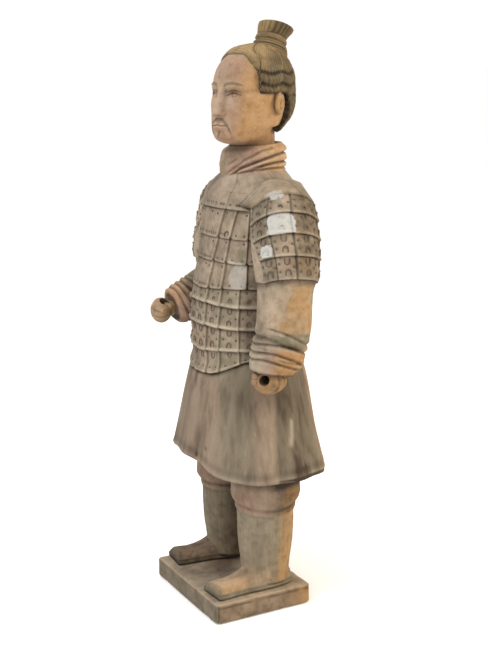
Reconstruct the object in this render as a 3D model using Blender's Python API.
"""A standing terracotta warrior in plate armour, with its loose head and its plinth.

Metres, +Z up. The figure faces -Y and its left hand is on the +X side. The origin is the centre
of the plinth's underside. Angles round an upright axis are azimuths in degrees: 0 is the front
(-Y), 90 the figure's left (+X) and 180 the back. Three clay pieces are modelled: the plinth, the
body with its robe, armour, arms and legs, and the head, whose neck stands in a seat in the scarf.
"""

import math

import bmesh
import bpy
from mathutils import Matrix, Vector

# Driving dimensions
PLINTH_WIDTH = 0.4255
PLINTH_DEPTH = 0.339
PLINTH_HEIGHT = 0.067
PLINTH_EDGE = 0.006
REST_GAP = 0.0003
HEAD_TOP = 1.722
CHIN = 1.44
NECK_Y = 0.077
NECK_RADIUS = 0.064
SEAT_CLEARANCE = 0.0015
SEAT_FLOOR = 1.395

# The armour's row lines from the collar down, each as its height in front and at the sides.
COLLAR_LINE = (1.254, 1.250)
CHEST_LINES = ((1.168, 1.164), (1.098, 1.092), (1.013, 1.020))
BELLY_LINES = ((0.972, 0.962), (0.902, 0.896), (0.819, 0.831))
APRON_FRONT = 0.754
APRON_RISE = 0.050
APRON_FLAT = 17.0
APRON_ANGLE = 50.0
ROW_STEP = 0.005
COLUMN_STEP = 0.005
CORD_HEIGHT = 0.012
CORD_PROUD = 0.004
ARMOUR_THICKNESS = 0.010
TRUNK_COLUMNS = 19
TRUNK_FIRST_COLUMN = -4.5
LACE_GAP = 0.7

# Height, half width, half depth and centre Y of the trunk and of the robe's skirt
TRUNK = (
    (1.372, 0.078, 0.080, 0.077),
    (1.352, 0.106, 0.096, 0.079),
    (1.330, 0.148, 0.108, 0.077),
    (1.300, 0.176, 0.128, 0.073),
    (1.250, 0.180, 0.142, 0.070),
    (1.166, 0.180, 0.150, 0.065),
    (1.090, 0.181, 0.157, 0.060),
    (1.015, 0.184, 0.165, 0.054),
    (0.940, 0.188, 0.170, 0.050),
    (0.860, 0.190, 0.168, 0.050),
    (0.780, 0.192, 0.163, 0.050),
    (0.742, 0.196, 0.166, 0.050),
)
SKIRT = (
    (0.820, 0.178, 0.155, 0.052),
    (0.740, 0.199, 0.177, 0.055),
    (0.684, 0.212, 0.189, 0.055),
    (0.606, 0.230, 0.202, 0.055),
    (0.553, 0.243, 0.211, 0.055),
    (0.500, 0.257, 0.222, 0.056),
    (0.440, 0.270, 0.236, 0.057),
    (0.380, 0.280, 0.246, 0.058),
)
# Azimuth and height of the hem, which drops to the figure's left and behind
HEM = (
    (-180.0, 0.412),
    (-135.0, 0.424),
    (-90.0, 0.445),
    (-60.0, 0.465),
    (-33.0, 0.480),
    (-12.0, 0.489),
    (14.0, 0.484),
    (30.0, 0.459),
    (47.0, 0.4425),
    (67.0, 0.4386),
    (88.0, 0.4390),
    (111.0, 0.436),
    (135.0, 0.4265),
    (151.0, 0.420),
    (180.0, 0.412),
)
HEM_THICKNESS = 0.020
HEM_RECESS = 0.045
PLEAT_DEPTH = 0.0035
PLEATS = 11

# Height, centre X, centre Y, half width and half depth of the arms. X is given for the left arm.
LEFT_ARM = (
    (1.338, 0.132, 0.082, 0.020, 0.028),
    (1.328, 0.152, 0.081, 0.051, 0.059),
    (1.304, 0.178, 0.073, 0.076, 0.085),
    (1.270, 0.198, 0.063, 0.084, 0.095),
    (1.215, 0.213, 0.059, 0.084, 0.101),
    (1.140, 0.223, 0.059, 0.083, 0.103),
    (1.060, 0.230, 0.059, 0.079, 0.096),
    (1.020, 0.234, 0.053, 0.072, 0.086),
    (0.915, 0.241, 0.044, 0.071, 0.086),
    (0.879, 0.244, 0.034, 0.072, 0.086),
    (0.849, 0.246, 0.024, 0.071, 0.085),
    (0.819, 0.249, 0.016, 0.069, 0.082),
    (0.796, 0.251, 0.012, 0.064, 0.076),
    (0.785, 0.252, 0.010, 0.047, 0.056),
)
RIGHT_ARM = (
    (1.334, 0.130, 0.094, 0.020, 0.028),
    (1.324, 0.150, 0.096, 0.050, 0.054),
    (1.302, 0.174, 0.101, 0.073, 0.075),
    (1.270, 0.192, 0.103, 0.083, 0.089),
    (1.215, 0.209, 0.104, 0.084, 0.098),
    (1.140, 0.223, 0.101, 0.083, 0.102),
    (1.090, 0.229, 0.100, 0.083, 0.106),
    (1.050, 0.233, 0.101, 0.079, 0.098),
    (1.000, 0.240, 0.102, 0.076, 0.088),
    (0.950, 0.243, 0.092, 0.072, 0.080),
    (0.905, 0.244, 0.074, 0.058, 0.060),
    (0.885, 0.244, 0.062, 0.030, 0.032),
)
# Pauldron row lines: height of each line's crest, and its droop towards the front and the back
PAULDRON_LINES = ((1.310, 0.066), (1.262, 0.064), (1.204, 0.060), (1.139, 0.048), (1.0715, 0.045))
PAULDRON_CREST = 68.0
PAULDRON_REAR_DROOP = 0.65
PAULDRON_FRONT = -8.0
PAULDRON_BACK = 205.0
PAULDRON_COLUMNS = 5
# How far the pauldron's front edge swings back by its lowest row
PAULDRON_SWEEP = 29.0
PAULDRON_THICKNESS = 0.011

# The left sleeve's gathers, down its length, and the right forearm's centre line: Y, Z and radius
LEFT_GATHERS = (0.908, 0.800, 5)
LEFT_CUFF_SLOPE = 0.012
FOREARM = (
    (0.085, 0.975, 0.072),
    (0.040, 0.950, 0.076),
    (0.000, 0.932, 0.073),
    (-0.040, 0.918, 0.067),
    (-0.064, 0.910, 0.062),
    (-0.082, 0.904, 0.054),
    (-0.088, 0.902, 0.036),
)
FOREARM_X = -0.243
RIGHT_GATHERS = 5
GATHER_DEPTH = 0.006

LEFT_FIST = Vector((0.254, -0.010, 0.765))
RIGHT_FIST = Vector((-0.234, -0.130, 0.898))
RIGHT_WRIST = Vector((-0.238, -0.094, 0.901))
GRIP_RADIUS = 0.0145
LEFT_GRIP_HEADING = 38.0

# Centre X and Y of each leg
LEFT_LEG = (0.118, 0.055)
RIGHT_LEG = (-0.132, 0.063)
# Height and radius of a leg, from under the robe to the ankle: the trouser cuff, then the shin
LEG = (
    (0.560, 0.088),
    (0.425, 0.107),
    (0.390, 0.108),
    (0.358, 0.107),
    (0.347, 0.103),
    (0.337, 0.096),
    (0.318, 0.094),
    (0.312, 0.090),
    (0.263, 0.089),
    (0.195, 0.085),
    (0.127, 0.076),
    (0.085, 0.073),
)
SHOE_LENGTH = 0.272
# Toe X, toe Y and the angle the heel swings round from straight behind the toe
LEFT_SHOE = (0.141, -0.148, 4.0)
RIGHT_SHOE = (-0.157, -0.134, -5.0)

# Scarf folds: height at the front, at the back, and how far each line stands out
SCARF = (
    (1.298, 1.344, 0.078),
    (1.311, 1.356, 0.096),
    (1.325, 1.366, 0.101),
    (1.336, 1.373, 0.094),
    (1.348, 1.383, 0.102),
    (1.359, 1.391, 0.095),
    (1.373, 1.402, 0.101),
    (1.385, 1.410, 0.094),
    (1.403, 1.424, 0.098),
    (1.420, 1.435, 0.092),
    (1.429, 1.440, 0.082),
    (1.430, 1.440, 0.074),
)

# Height, half width, front Y and back Y of the head and neck
HEAD = (
    (1.395, 0.0640, 0.013, 0.141),
    (1.432, 0.0640, 0.012, 0.141),
    (1.441, 0.0660, -0.042, 0.141),
    (1.452, 0.0720, -0.068, 0.144),
    (1.470, 0.0800, -0.076, 0.147),
    (1.492, 0.0875, -0.078, 0.163),
    (1.518, 0.0930, -0.077, 0.181),
    (1.550, 0.0965, -0.074, 0.192),
    (1.580, 0.0980, -0.071, 0.198),
    (1.610, 0.0980, -0.068, 0.200),
    (1.640, 0.0955, -0.061, 0.199),
    (1.668, 0.0870, -0.046, 0.190),
    (1.692, 0.0700, -0.020, 0.172),
    (1.710, 0.0460, 0.014, 0.148),
    (HEAD_TOP, 0.0180, 0.066, 0.110),
)
# The same for the outside of the hair, which is combed up to the topknot
HAIR = (
    (1.462, 0.0860, -0.070, 0.134),
    (1.492, 0.1020, -0.061, 0.167),
    (1.518, 0.1080, -0.060, 0.197),
    (1.550, 0.1120, -0.059, 0.211),
    (1.580, 0.1135, -0.057, 0.212),
    (1.610, 0.1135, -0.057, 0.213),
    (1.640, 0.1100, -0.053, 0.212),
    (1.668, 0.0980, -0.034, 0.202),
    (1.694, 0.0800, -0.012, 0.186),
    (1.714, 0.0550, 0.020, 0.158),
    (1.726, 0.0310, 0.060, 0.129),
    (1.730, 0.0150, 0.078, 0.112),
)
HAIR_LEVELS = (0.0, 0.05, 0.16, 0.30, 0.46, 0.62, 0.77, 0.90, 1.0)
JAW_RISE = 0.052
HAIRLINE = 1.690
TEMPLE_LINE = 1.586
NAPE_LINE = 1.470
FACE_THIRD = (HAIRLINE - CHIN) / 3.0
BROW_LINE = HAIRLINE - FACE_THIRD
NOSE_BASE = BROW_LINE - FACE_THIRD
MOUTH_LINE = NOSE_BASE - FACE_THIRD / 3.0
EYE_LINE = (CHIN + HEAD_TOP) / 2.0
EYE_OFFSET = 0.038
# The head looks this many degrees to its left, about the neck's axis
HEAD_TURN = 20.0
EAR = (0.099, 0.078)
BUN_BASE = Vector((-0.024, 0.140, 1.690))
BUN_TILT = (-10.0, -18.0)
# Height up the bun, radius, and how far it is swept back: wrapped base, ribbon, fanned top
BUN = (
    (0.000, 0.060, 0.000),
    (0.020, 0.057, 0.000),
    (0.036, 0.052, 0.000),
    (0.045, 0.046, 0.000),
    (0.050, 0.049, 0.000),
    (0.058, 0.048, 0.000),
    (0.063, 0.045, 0.000),
    (0.078, 0.049, 0.002),
    (0.0945, 0.054, 0.006),
    (0.101, 0.050, 0.006),
    (0.104, 0.028, 0.006),
)

CLAY = (0.36, 0.27, 0.19)
CLAY_ROUGHNESS = 0.9
PLINTH_CLAY = (0.34, 0.25, 0.17)
HEAD_CLAY = (0.42, 0.26, 0.15)


def smooth(t):
    """0 to 1 with flat ends."""
    t = min(1.0, max(0.0, t))
    return t * t * (3.0 - 2.0 * t)


def bump(distance, width):
    """A bell of height 1."""
    return math.exp(-((distance / width) ** 2))


def station_at(table, height):
    """The row of a table of stations at any height, on a smooth curve through its rows."""
    rows = sorted(table)
    if height <= rows[0][0]:
        return rows[0][1:]
    if height >= rows[-1][0]:
        return rows[-1][1:]
    i = next(k for k in range(len(rows) - 1) if rows[k + 1][0] >= height)
    low, high = rows[i], rows[i + 1]
    span = high[0] - low[0]
    t = (height - low[0]) / span
    before = rows[max(i - 1, 0)]
    after = rows[min(i + 2, len(rows) - 1)]
    found = []
    for k in range(1, len(low)):
        slope_low = (high[k] - before[k]) / (high[0] - before[0]) * span
        slope_high = (after[k] - low[k]) / (after[0] - low[0]) * span
        found.append(
            (2 * t**3 - 3 * t**2 + 1) * low[k]
            + (t**3 - 2 * t**2 + t) * slope_low
            + (3 * t**2 - 2 * t**3) * high[k]
            + (t**3 - t**2) * slope_high
        )
    return tuple(found)


def oval_point(azimuth, centre, half_width, half_depth, proud, height):
    """A point on an oval section, pushed out along the oval's normal by proud."""
    turn = math.radians(azimuth)
    side, front = math.sin(turn), -math.cos(turn)
    normal = Vector((side / half_width, front / half_depth)).normalized()
    x = centre[0] + half_width * side + normal.x * proud
    y = centre[1] + half_depth * front + normal.y * proud
    return Vector((x, y, height))


def loft(name, rings):
    """A closed body through rings of points, each with the same count, capped at both ends."""
    mesh = bmesh.new()
    rows = [[mesh.verts.new(point) for point in ring] for ring in rings]
    count = len(rows[0])
    for low, high in zip(rows, rows[1:]):
        for i in range(count):
            j = (i + 1) % count
            mesh.faces.new((low[i], low[j], high[j], high[i]))
    mesh.faces.new(rows[0])
    mesh.faces.new(rows[-1])
    bmesh.ops.recalc_face_normals(mesh, faces=mesh.faces)
    bmesh.ops.triangulate(mesh, faces=[f for f in mesh.faces if len(f.verts) > 4])
    return finished(name, mesh)


def finished(name, mesh):
    """The bmesh as an object in the collection that is current."""
    data = bpy.data.meshes.new(name)
    mesh.to_mesh(data)
    mesh.free()
    made = bpy.data.objects.new(name, data)
    bpy.context.collection.objects.link(made)
    return made


def joined(name, base, others, cutters=()):
    """One object: base united with others, then cut by cutters, with the helpers removed."""
    for other in others:
        step = base.modifiers.new("join_" + other.name, "BOOLEAN")
        step.operation = "UNION"
        step.object = other
    for cutter in cutters:
        step = base.modifiers.new("cut_" + cutter.name, "BOOLEAN")
        step.operation = "DIFFERENCE"
        step.object = cutter
    bpy.context.view_layer.update()
    graph = bpy.context.evaluated_depsgraph_get()
    data = bpy.data.meshes.new_from_object(base.evaluated_get(graph))
    for helper in (base, *others, *cutters):
        bpy.data.objects.remove(helper)
    data.name = name
    made = bpy.data.objects.new(name, data)
    bpy.context.collection.objects.link(made)
    return made


def clay(name, colour):
    """A dry fired-clay material."""
    material = bpy.data.materials.new(name)
    material.use_nodes = True
    shader = material.node_tree.nodes["Principled BSDF"]
    shader.inputs["Base Color"].default_value = (*colour, 1.0)
    shader.inputs["Roughness"].default_value = CLAY_ROUGHNESS
    shader.inputs["Metallic"].default_value = 0.0
    return material


def dress(made, material):
    """Gives an object its material and smooth faces with crisp edges."""
    made.data.materials.clear()
    made.data.materials.append(material)
    made.data.shade_smooth()
    made.data.set_sharp_from_angle(angle=math.radians(35.0))


def ellipsoid(name, centre, radii, segments=12, rings=8, turn=None):
    """A squashed ball."""
    mesh = bmesh.new()
    bmesh.ops.create_uvsphere(mesh, u_segments=segments, v_segments=rings, radius=1.0)
    place = Matrix.Translation(centre) @ (turn or Matrix.Identity(4)) @ Matrix.Diagonal((*radii, 1.0))
    bmesh.ops.transform(mesh, matrix=place, verts=mesh.verts)
    return finished(name, mesh)


def rod(name, centre, radius, length, turn=None, segments=12):
    """A round bar along its own Z."""
    mesh = bmesh.new()
    bmesh.ops.create_cone(
        mesh, cap_ends=True, segments=segments, radius1=radius, radius2=radius, depth=length
    )
    place = Matrix.Translation(centre) @ (turn or Matrix.Identity(4))
    bmesh.ops.transform(mesh, matrix=place, verts=mesh.verts)
    return finished(name, mesh)


def plinth():
    """The slab under the feet, with softened edges."""
    mesh = bmesh.new()
    bmesh.ops.create_cube(mesh, size=1.0)
    size = Matrix.Diagonal((PLINTH_WIDTH, PLINTH_DEPTH, PLINTH_HEIGHT, 1.0))
    place = Matrix.Translation((0.0, 0.0, PLINTH_HEIGHT / 2.0)) @ size
    bmesh.ops.transform(mesh, matrix=place, verts=mesh.verts)
    upper = [e for e in mesh.edges if max(v.co.z for v in e.verts) > PLINTH_HEIGHT / 2.0]
    bmesh.ops.bevel(
        mesh, geom=upper, offset=PLINTH_EDGE, segments=2, profile=0.5, affect="EDGES", material=-1
    )
    return finished("plinth", mesh)


def column_angles(first, last, count, middles):
    """Azimuths across a run of plate columns: just inside both edges of each, and its middle."""
    width = (last - first) / count
    angles = []
    for k in range(count):
        start = first + k * width
        angles += [start + LACE_GAP, start + width - LACE_GAP]
        if middles:
            angles.insert(-1, start + width / 2.0)
    return angles


def column_step(azimuth, first, last, count, centre):
    """How far a plate lies under its neighbour: plates nearer the centre line lie on top."""
    width = (last - first) / count
    along = (azimuth - first) / width
    share = along - math.floor(along)
    middle = first + (math.floor(along) + 0.5) * width
    if abs(middle - centre) < width / 4.0:
        return 0.0
    if middle < centre:
        share = 1.0 - share
    return -COLUMN_STEP * (1.0 - share)


def trunk_column_step(azimuth):
    """The trunk's plates: the front column lies on top, and each next one under its neighbour."""
    width = 360.0 / TRUNK_COLUMNS
    centre = TRUNK_FIRST_COLUMN + width / 2.0
    turn = abs((azimuth - centre + 180.0) % 360.0 - 180.0)
    if turn <= width / 2.0:
        return 0.0
    share = ((turn - width / 2.0) % width) / width
    return -COLUMN_STEP * (1.0 - share)


def folded(azimuth):
    """Degrees from the nearer of the front and the back."""
    turn = abs((azimuth + 180.0) % 360.0 - 180.0)
    return min(turn, 180.0 - turn)


def row_height(line, azimuth):
    """Height of an armour row line, which drifts between the front and the sides."""
    return line[0] + (line[1] - line[0]) * smooth(folded(azimuth) / 55.0)


def apron_edge(azimuth):
    """Height of the armour's lower edge: a rounded apron in front and behind."""
    return APRON_FRONT + APRON_RISE * smooth((folded(azimuth) - APRON_FLAT) / APRON_ANGLE)


def trunk_ring(azimuths, height, proud, columns=True):
    """One ring of the armoured trunk. The height is a number or a function of the azimuth."""
    ring = []
    for azimuth in azimuths:
        z = height(azimuth) if callable(height) else height
        half_width, half_depth, centre_y = station_at(TRUNK, z)
        lift = proud + (trunk_column_step(azimuth) if columns else 0.0)
        ring.append(oval_point(azimuth, (0.0, centre_y), half_width, half_depth, lift, z))
    return ring


def skirt_ring(azimuths, height, proud):
    """One ring of the robe's skirt, with shallow pleats that deepen downwards."""
    ring = []
    for azimuth in azimuths:
        z = height(azimuth) if callable(height) else height
        half_width, half_depth, centre_y = station_at(SKIRT, z)
        depth = PLEAT_DEPTH * smooth((0.74 - z) / 0.25)
        pleat = depth * math.cos(math.radians(azimuth * PLEATS))
        centre = (0.0, centre_y)
        ring.append(oval_point(azimuth, centre, half_width, half_depth, proud + pleat, z))
    return ring


def hem_line(azimuth):
    """Height of the hem at an azimuth."""
    return station_at(HEM, (azimuth + 180.0) % 360.0 - 180.0)[0]


def row(line, offset=0.0):
    """A function giving an armour row line's height at an azimuth, raised by offset."""
    return lambda azimuth: row_height(line, azimuth) + offset


def trunk():
    """Chest, belly armour and skirt, from the neck down to the hollow under the hem."""
    last = TRUNK_FIRST_COLUMN + 360.0
    azimuths = column_angles(TRUNK_FIRST_COLUMN, last, TRUNK_COLUMNS, False)
    rings = [trunk_ring(azimuths, z, 0.0, columns=False) for z in (1.372, 1.352, 1.330, 1.300)]
    rings.append(trunk_ring(azimuths, row(COLLAR_LINE), 0.002, columns=False))
    top = COLLAR_LINE
    for line in CHEST_LINES:
        rings.append(trunk_ring(azimuths, row(top, -0.002), -ROW_STEP))
        rings.append(trunk_ring(azimuths, row(line), 0.0))
        top = line
    for line in BELLY_LINES:
        rings.append(trunk_ring(azimuths, row(top, -0.002), -ROW_STEP))
        rings.append(trunk_ring(azimuths, row(line, CORD_HEIGHT), 0.0))
        rings.append(trunk_ring(azimuths, row(line, CORD_HEIGHT / 2.0), CORD_PROUD))
        rings.append(trunk_ring(azimuths, row(line), 0.0))
        top = line
    rings.append(trunk_ring(azimuths, row(top, -0.002), -ROW_STEP))
    rings.append(trunk_ring(azimuths, apron_edge, 0.001))
    rings.append(skirt_ring(azimuths, lambda a: apron_edge(a) - 0.001, 0.0))
    for share in (0.30, 0.62, 0.94):
        rings.append(
            skirt_ring(
                azimuths,
                lambda a, s=share: apron_edge(a) + (hem_line(a) + 0.012 - apron_edge(a)) * s,
                0.0,
            )
        )
    rings.append(skirt_ring(azimuths, lambda a: hem_line(a) + 0.004, 0.001))
    rings.append(skirt_ring(azimuths, hem_line, -0.005))
    rings.append(skirt_ring(azimuths, hem_line, 0.002 - HEM_THICKNESS))
    rings.append(skirt_ring(azimuths, lambda a: hem_line(a) + HEM_RECESS, -HEM_THICKNESS - 0.02))
    return loft("trunk", rings)


def arm_ring(table, side, azimuths, height, drop, proud, plated=False):
    """One ring of an arm. A plated ring droops by drop to the front and back of its crest."""
    ring = []
    fall = min(1.0, max(0.0, (1.24 - height) / 0.17))
    sweep = PAULDRON_SWEEP * math.sin(fall * math.pi / 2.0) if plated else 0.0
    span = PAULDRON_BACK - PAULDRON_FRONT
    for azimuth in azimuths:
        inside = PAULDRON_FRONT <= azimuth <= PAULDRON_BACK
        turn = azimuth
        if inside:
            turn += sweep * ((PAULDRON_BACK - azimuth) / span) ** 3
        elif azimuth < PAULDRON_FRONT:
            turn += sweep
        away = min(abs(turn - PAULDRON_CREST), 115.0)
        share = PAULDRON_REAR_DROOP if turn > PAULDRON_CREST else 1.0
        z = height - share * drop * (1.0 - math.cos(math.radians(away))) if plated else height
        if not plated:
            z += drop * math.cos(math.radians(azimuth))
        x, y, half_width, half_depth = station_at(table, z)
        lift = proud
        if plated:
            lift = min(proud, 0.0)
            if inside:
                lift = proud + PAULDRON_THICKNESS - 0.003 + column_step(
                    azimuth, PAULDRON_FRONT, PAULDRON_BACK, PAULDRON_COLUMNS,
                    (PAULDRON_FRONT + PAULDRON_BACK) / 2.0,
                )
        point = oval_point(turn, (x, y), half_width, half_depth, lift, z)
        point.x *= side
        ring.append(point)
    return ring


def arm_azimuths():
    """Azimuths round an arm: the pauldron's columns, then the plain inner side."""
    outer = column_angles(PAULDRON_FRONT, PAULDRON_BACK, PAULDRON_COLUMNS, True)
    outer = [PAULDRON_FRONT, *outer[1:-1], PAULDRON_BACK]
    return [PAULDRON_FRONT - 1.5, *outer, PAULDRON_BACK + 1.5, 236.0, 275.0, 315.0]


def arm(name, table, side, tail):
    """Shoulder, four rows of pauldron plates and the sleeve, whose lower rings come from tail."""
    azimuths = arm_azimuths()
    rings = [arm_ring(table, side, azimuths, z, 0.0, 0.0) for z in (1.336, 1.326)]
    top, top_drop = PAULDRON_LINES[0]
    for line, drop in PAULDRON_LINES[1:]:
        rings.append(arm_ring(table, side, azimuths, top - 0.002, top_drop, -ROW_STEP, True))
        rings.append(arm_ring(table, side, azimuths, line + 0.004, drop, 0.0, True))
        rings.append(arm_ring(table, side, azimuths, line, drop, 0.0, True))
        top, top_drop = line, drop
    rings.append(arm_ring(table, side, azimuths, top - 0.002, top_drop, -PAULDRON_THICKNESS, True))
    rings += [arm_ring(table, side, azimuths, z, d, lift) for z, d, lift in tail]
    return loft(name, rings)


def left_arm():
    """The arm that hangs down, its sleeve gathered above the wrist."""
    top, bottom, count = LEFT_GATHERS
    slope = LEFT_CUFF_SLOPE
    tail = [(0.990, 0.0, 0.0), (0.930, slope * 0.5, 0.0)]
    pitch = (top - bottom) / count
    for k in range(count):
        crest = top - pitch * (k + 0.35)
        tail.append((crest, slope, GATHER_DEPTH / 2.0))
        tail.append((crest - pitch * 0.5, slope, -GATHER_DEPTH / 2.0))
    tail += [(0.794, slope, 0.0), (0.784, slope, 0.0)]
    return arm("left_arm", LEFT_ARM, 1.0, tail)


def right_upper_arm():
    """The upper arm down to a rounded elbow."""
    tail = [(0.990, 0.0, 0.0), (0.950, 0.0, 0.0), (0.905, 0.0, 0.0), (0.885, 0.0, 0.0)]
    return arm("right_upper_arm", RIGHT_ARM, -1.0, tail)


def right_forearm():
    """The raised forearm: rings square to its falling centre line, gathered near the wrist."""
    count = 14
    rings = []
    steps = 2 * RIGHT_GATHERS + 4
    table = [(-y, z, radius) for y, z, radius in FOREARM]
    first, last = table[0][0], table[-1][0]
    for k in range(steps + 1):
        along = first + (last - first) * k / steps
        z, radius = station_at(table, along)
        before, after = station_at(table, along - 0.004), station_at(table, along + 0.004)
        slope = math.atan2(before[0] - after[0], 0.008)
        gather = 0.0
        if 4 <= k < steps:
            gather = GATHER_DEPTH / 2.0 * (1.0 if k % 2 else -1.0)
        ring = []
        for i in range(count):
            turn = 2.0 * math.pi * i / count
            across, up = math.cos(turn) * (radius + gather), math.sin(turn) * (radius + gather)
            ring.append(
                Vector((FOREARM_X + across, -along - up * math.sin(slope), z + up * math.cos(slope)))
            )
        rings.append(ring)
    return loft("right_forearm", rings)


def fist(name, centre, radii, grip_at, grip_turn, grip_length, thumb_offset, thumb_turn):
    """A closed hand and its thumb, with the rod that bores the grip. Returns pieces and cutter."""
    palm = ellipsoid(name + "_palm", centre, radii, 12, 8)
    thumb = ellipsoid(
        name + "_thumb", centre + thumb_offset, (0.011, 0.012, 0.025), 8, 6, thumb_turn
    )
    grip = rod(name + "_grip", centre + grip_at, GRIP_RADIUS, grip_length, grip_turn)
    return [palm, thumb], grip


def leg(name, centre_x, centre_y):
    """A trouser cuff over a plain round shin."""
    count = 14
    rings = []
    for height, radius in LEG:
        ring = []
        for i in range(count):
            turn = 2.0 * math.pi * i / count
            ring.append(
                Vector(
                    (
                        centre_x + radius * math.sin(turn),
                        centre_y - radius * math.cos(turn),
                        height,
                    )
                )
            )
        rings.append(ring)
    return loft(name, rings)


def shoe(name, toe_x, toe_y, heading):
    """A square-toed shoe on a thin sole, its instep rising to the ankle."""
    # Distance back from the toe, half width, height of the upper
    table = (
        (0.000, 0.045, 0.030),
        (0.010, 0.048, 0.038),
        (0.060, 0.049, 0.037),
        (0.110, 0.051, 0.049),
        (0.150, 0.055, 0.072),
        (0.200, 0.058, 0.084),
        (0.250, 0.054, 0.078),
        (0.268, 0.046, 0.060),
        (SHOE_LENGTH, 0.037, 0.044),
    )
    floor = PLINTH_HEIGHT + REST_GAP
    rings = []
    for back, half_width, rise in table:
        section = (
            (-1.00, 0.000), (-1.06, 0.006), (-1.05, 0.012), (-0.96, 0.014), (-0.86, 0.62 * rise),
            (-0.52, 0.93 * rise), (0.0, rise), (0.52, 0.93 * rise), (0.86, 0.62 * rise),
            (0.96, 0.014), (1.05, 0.012), (1.06, 0.006), (1.00, 0.000),
        )
        rings.append([Vector((share * half_width, back, up)) for share, up in section])
    made = loft(name, rings)
    turn = Matrix.Rotation(math.radians(heading), 4, "Z")
    made.data.transform(Matrix.Translation((toe_x, toe_y, floor)) @ turn)
    return made


def scarf():
    """The neck cloth: folds that fan from low in front to the nape."""
    count = 24
    rings = []
    for front, back, radius in SCARF:
        ring = []
        for i in range(count):
            azimuth = 360.0 * i / count
            rear = (1.0 - math.cos(math.radians(azimuth))) / 2.0
            z = front + (back - front) * rear
            ring.append(oval_point(azimuth, (0.0, NECK_Y), radius, radius, 0.0, z))
        rings.append(ring)
    return loft("scarf", rings)


def hairline(azimuth):
    """Height of the hair's edge: across the brow, down before the ear, over it, to the nape."""
    turn = abs((azimuth + 180.0) % 360.0 - 180.0)
    brow = HAIRLINE - 0.048 * smooth((turn - 20.0) / 36.0)
    temple = brow + (TEMPLE_LINE - HAIRLINE + 0.048) * smooth((turn - 51.0) / 3.0)
    return temple + (NAPE_LINE - TEMPLE_LINE) * smooth((turn - 92.0) / 30.0)


def face_relief(x, z):
    """How far the face stands forward of the plain head, on the canon of equal thirds."""
    side = abs(x)
    nose_top, nose_tip = BROW_LINE, NOSE_BASE + 0.010
    relief = 0.0035 * bump(z - BROW_LINE, 0.010) * bump(side - 0.034, 0.030)
    relief -= 0.0110 * bump(side - EYE_OFFSET, 0.018) * bump(z - EYE_LINE, 0.013)
    relief += 0.0075 * bump(side - EYE_OFFSET, 0.013) * bump(z - EYE_LINE, 0.009)
    along = (nose_top - z) / (nose_top - nose_tip)
    ridge = 0.028 * smooth(along * 0.8 + 0.15) if along < 1.0 else 0.028
    ridge *= smooth((z - NOSE_BASE + 0.006) / 0.012) * smooth((nose_top + 0.012 - z) / 0.03)
    relief += ridge * bump(x, 0.0105 + 0.004 * smooth(along))
    relief += 0.009 * bump(side - 0.015, 0.007) * bump(z - NOSE_BASE - 0.006, 0.007)
    relief += 0.0065 * bump(x, 0.026) * bump(z - MOUTH_LINE, 0.013)
    relief -= 0.0030 * bump(x, 0.026) * bump(z - MOUTH_LINE, 0.0025)
    relief += 0.0060 * bump(x, 0.022) * bump(z - CHIN - 0.020, 0.014)
    relief -= 0.0035 * bump(x, 0.022) * bump(z - MOUTH_LINE + 0.019, 0.006)
    relief += 0.0040 * bump(side - 0.060, 0.020) * bump(z - NOSE_BASE - 0.034, 0.022)
    return relief


def head_azimuths():
    """Azimuths round the head, close together across the face."""
    half = [0.0, 4.5, 9.5, 15.0, 21.0, 29.0, 39.0, 51.0, 66.0, 84.0, 104.0, 127.0, 153.0]
    return half + [180.0] + [360.0 - a for a in reversed(half[1:])]


def head_ring(table, azimuths, level, height=None):
    """One ring round the head at a level of its table, moved to height(azimuth) if given."""
    ring = []
    for azimuth in azimuths:
        turn = math.radians(azimuth)
        size_level = height(azimuth) if height else level
        half_width, front, back = station_at(table, size_level)
        middle = (front + back) / 2.0 + 0.010 * smooth((size_level - 1.435) / 0.03)
        depth = middle - front if math.cos(turn) > 0.0 else back - middle
        x, y = half_width * math.sin(turn), middle - depth * math.cos(turn)
        ring.append(Vector((x, y, size_level)))
    return ring


def head_place():
    """How the head is swung round from straight ahead."""
    pivot = Matrix.Translation((0.0, NECK_Y, 0.0))
    return pivot @ Matrix.Rotation(math.radians(HEAD_TURN), 4, "Z") @ pivot.inverted()


def skull():
    """Neck, jaw and face as one body, closed under the hair."""
    heights = [1.395, 1.4315, 1.437, 1.443, 1.452, 1.465, 1.478, 1.487, 1.494, 1.501]
    heights += [1.511, 1.519, 1.526, 1.535, 1.552, 1.568, 1.581, 1.594, 1.606, 1.622]
    heights += [1.650, 1.680, 1.705]
    rings = []
    azimuths = head_azimuths()
    for level in heights:
        jaw = smooth((level - 1.425) / 0.010) * smooth((1.500 - level) / 0.060)
        ring = head_ring(HEAD, azimuths, level)
        for azimuth, point in zip(azimuths, ring):
            facing = math.cos(math.radians(azimuth))
            point.z += JAW_RISE * jaw * (1.0 - facing) / 2.0
            if facing > 0.2 and level > CHIN:
                point.y -= face_relief(point.x, point.z)
        rings.append([head_place() @ point for point in ring])
    return loft("skull", rings)


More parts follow.
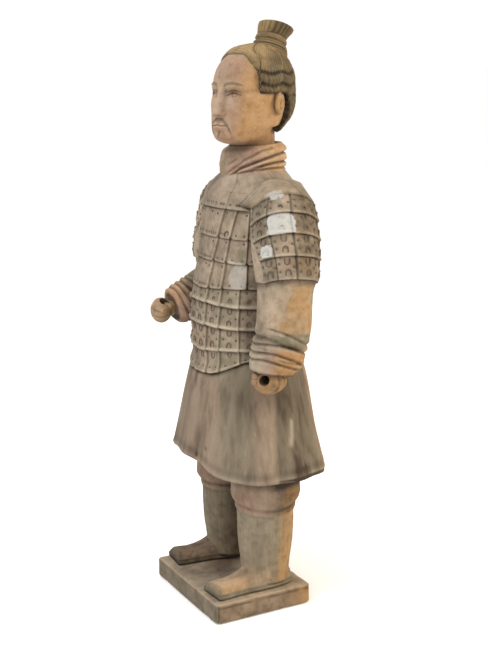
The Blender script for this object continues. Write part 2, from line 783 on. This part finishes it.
def hair():
    """The hair as a thick cap with a crisp lower edge."""
    azimuths = [0.0, 20.0, 32.0, 42.0, 51.0, 54.0, 66.0, 80.0, 92.0, 102.0, 112.0, 122.0, 140.0, 160.0]
    azimuths += [180.0] + [360.0 - a for a in reversed(azimuths[1:])]
    top = HAIR[-1][0]
    inner = head_ring(HAIR, azimuths, 0.0, lambda a: hairline(a) + 0.004)
    rings = [[Vector((p.x * 0.72, NECK_Y + (p.y - NECK_Y) * 0.72, p.z)) for p in inner]]
    for share in HAIR_LEVELS:
        rings.append(
            head_ring(
                HAIR, azimuths, 0.0, lambda a, s=share: hairline(a) + (top - hairline(a)) * s
            )
        )
    return loft("hair", [[head_place() @ point for point in ring] for ring in rings])


def ear(name, side):
    """A flattened oval, as tall as the space from brow to nose."""
    centre = head_place() @ Vector((side * EAR[0], EAR[1], (BROW_LINE + NOSE_BASE) / 2.0))
    turn = Matrix.Rotation(math.radians(HEAD_TURN + side * 22.0), 4, "Z") @ Matrix.Rotation(
        math.radians(-12.0), 4, "X"
    )
    return ellipsoid(name, centre, (0.010, 0.024, 0.039), 8, 6, turn)


def bun():
    """The topknot: a wrapped base, a ribbon and a fanned top, leaning back and to the right."""
    count = 15
    lean = Matrix.Rotation(math.radians(BUN_TILT[0]), 4, "Y") @ Matrix.Rotation(
        math.radians(BUN_TILT[1]), 4, "X"
    )
    place = Matrix.Translation(BUN_BASE) @ lean
    rings = []
    for up, radius, back in BUN:
        ring = []
        for i in range(count):
            turn = 2.0 * math.pi * i / count
            x, y = radius * 0.92 * math.sin(turn) + back / 2.0, back - radius * math.cos(turn)
            ring.append(place @ Vector((x, y, up)))
        rings.append(ring)
    return loft("bun", rings)


def body():
    """The body: every limb united with the trunk, then the neck's seat and the grips cut out."""
    quarter = Matrix.Rotation(math.radians(90.0), 4, "X")
    left_turn = Matrix.Rotation(math.radians(LEFT_GRIP_HEADING), 4, "Z") @ quarter
    right_turn = Matrix.Rotation(math.radians(24.0), 4, "Y") @ Matrix.Rotation(
        math.radians(14.0), 4, "X"
    )
    left_hand, left_grip = fist(
        "left_fist", LEFT_FIST, (0.043, 0.052, 0.041),
        Vector((0.0, 0.0, 0.009)), left_turn, 0.146,
        Vector((-0.019, -0.040, 0.010)), Matrix.Identity(4),
    )
    right_hand, right_grip = fist(
        "right_fist", RIGHT_FIST, (0.035, 0.034, 0.040),
        Vector((0.004, 0.012, 0.0)), right_turn, 0.14,
        Vector((0.018, -0.014, 0.026)), Matrix.Rotation(math.radians(70.0), 4, "X"),
    )
    seat = rod(
        "neck_seat",
        Vector((0.0, NECK_Y, SEAT_FLOOR - REST_GAP + 0.05)),
        NECK_RADIUS + SEAT_CLEARANCE,
        0.10,
        segments=32,
    )
    pieces = [
        scarf(), left_arm(), right_upper_arm(), right_forearm(), *left_hand, *right_hand,
        rod("right_wrist", RIGHT_WRIST, 0.024, 0.060, quarter, 14),
        leg("left_leg", *LEFT_LEG), leg("right_leg", *RIGHT_LEG),
        shoe("left_shoe", *LEFT_SHOE), shoe("right_shoe", *RIGHT_SHOE),
    ]
    return joined("warrior_body", trunk(), pieces, (left_grip, right_grip, seat))


def head():
    """The head on its own neck, with ears, hair and topknot."""
    return joined("head", skull(), [ear("left_ear", 1.0), ear("right_ear", -1.0), hair(), bun()])


def main():
    for old in list(bpy.data.objects):
        bpy.data.objects.remove(old)
    parts = bpy.data.collections.new("terracotta_warrior")
    bpy.context.scene.collection.children.link(parts)
    layer = bpy.context.view_layer.layer_collection.children[parts.name]
    bpy.context.view_layer.active_layer_collection = layer
    dress(plinth(), clay("plinth_clay", PLINTH_CLAY))
    dress(body(), clay("body_clay", CLAY))
    dress(head(), clay("head_clay", HEAD_CLAY))


main()
